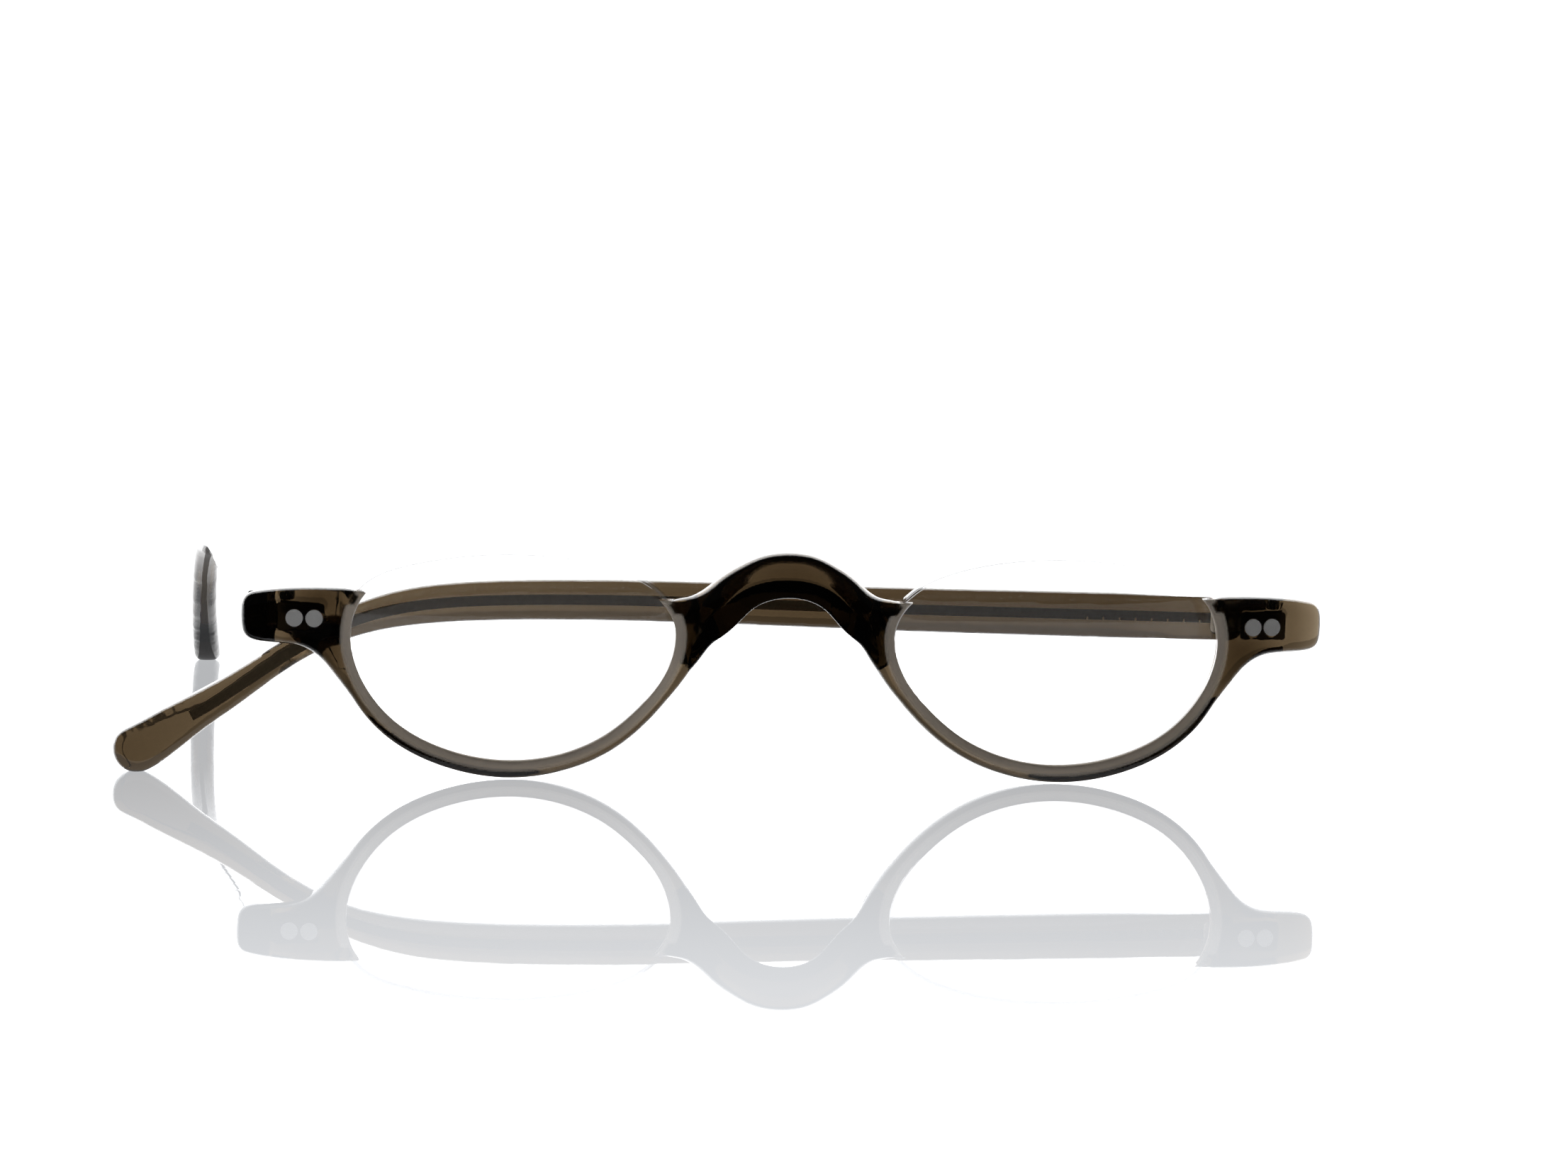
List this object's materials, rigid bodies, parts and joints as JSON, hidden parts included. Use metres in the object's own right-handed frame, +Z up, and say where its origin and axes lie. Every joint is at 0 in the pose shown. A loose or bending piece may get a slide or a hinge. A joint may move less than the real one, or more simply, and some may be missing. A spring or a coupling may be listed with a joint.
{
  "type": "half-rim eyeglass frame",
  "caption": "Half-rim eyeglass frame in brown acetate: lenses held from above by nylon line, riveted hinges and temples that fold flat behind the front.",
  "frame": {"origin": "seat of the nose: the crown of the arch under the bridge, in the middle of the bridge's thickness", "axes": "+X to the wearer's left, +Y back towards the wearer, +Z up"},
  "size_m": [0.1542, 0.1594, 0.0288],
  "materials": {
    "acetate_front": "polished translucent brown acetate",
    "acetate_temple": "polished translucent brown acetate",
    "demo_lens": "clear",
    "nylon": "clear nylon",
    "hinge_metal": "brushed nickel silver",
    "rivet_metal": "satin",
    "screw_metal": "satin",
    "wire_metal": "satin gilt"
  },
  "bodies": {
    "front": {"front_frame": "acetate_front", "nose_pad_left": "acetate_front", "lens_left": "demo_lens", "suspension_cord_left": "nylon", "front_hinge_left": "hinge_metal", "front_rivet_inner_left": "rivet_metal", "front_rivet_outer_left": "rivet_metal", "hinge_screw_left": "screw_metal", "nose_pad_right": "acetate_front", "lens_right": "demo_lens", "suspension_cord_right": "nylon", "front_hinge_right": "hinge_metal", "front_rivet_inner_right": "rivet_metal", "front_rivet_outer_right": "rivet_metal", "hinge_screw_right": "screw_metal"},
    "temple_left": {"temple_left": "acetate_temple", "temple_hinge_left": "hinge_metal", "core_wire_left": "wire_metal"},
    "temple_right": {"temple_right": "acetate_temple", "temple_hinge_right": "hinge_metal", "core_wire_right": "wire_metal"}
  },
  "joints": [
    {"name": "temple_left_fold", "type": "hinge", "parent": "front", "child": "temple_left", "pos_m": [0.0628, 0.00911, -0.00385], "axis": [0, 0, -1], "range_deg": [0, 91.55]},
    {"name": "temple_right_fold", "type": "hinge", "parent": "front", "child": "temple_right", "pos_m": [-0.0628, 0.00911, -0.00385], "axis": [0, 0, 1], "range_deg": [-83, 0]}
  ]
}
